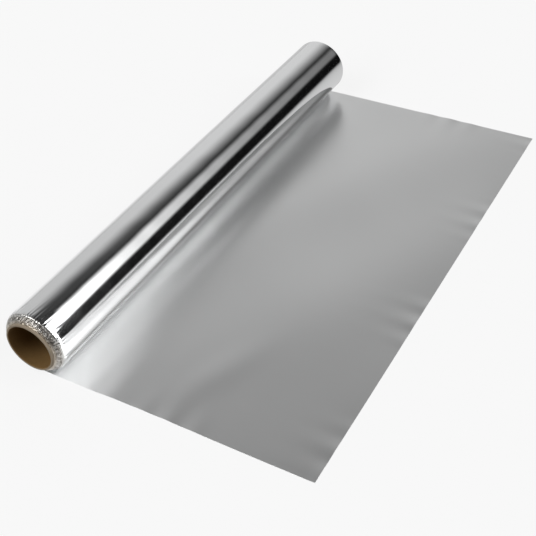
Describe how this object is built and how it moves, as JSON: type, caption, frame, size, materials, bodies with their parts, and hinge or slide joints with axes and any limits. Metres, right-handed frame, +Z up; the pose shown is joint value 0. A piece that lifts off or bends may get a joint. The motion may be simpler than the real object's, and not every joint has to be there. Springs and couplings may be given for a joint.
{
  "type": "aluminium foil roll",
  "caption": "Roll of aluminium foil wound on a cardboard tube, lying down with its free end pulled out flat to one side.",
  "frame": {"origin": "centre of the tube's bore, halfway along it", "axes": "+Y along the roll's axis towards the end away from the viewer of the picture, +X from the roll towards the free edge of the laid-out foil, +Z up"},
  "size_m": [0.1665, 0.3072, 0.035],
  "materials": {
    "foil": "mirror-bright outside on the roll, satin on the upper side of the laid-out sheet",
    "core_board": "matte grey-brown board"
  },
  "bodies": {
    "root": {"foil_web": "foil", "core_tube": "core_board"}
  },
  "joints": []
}
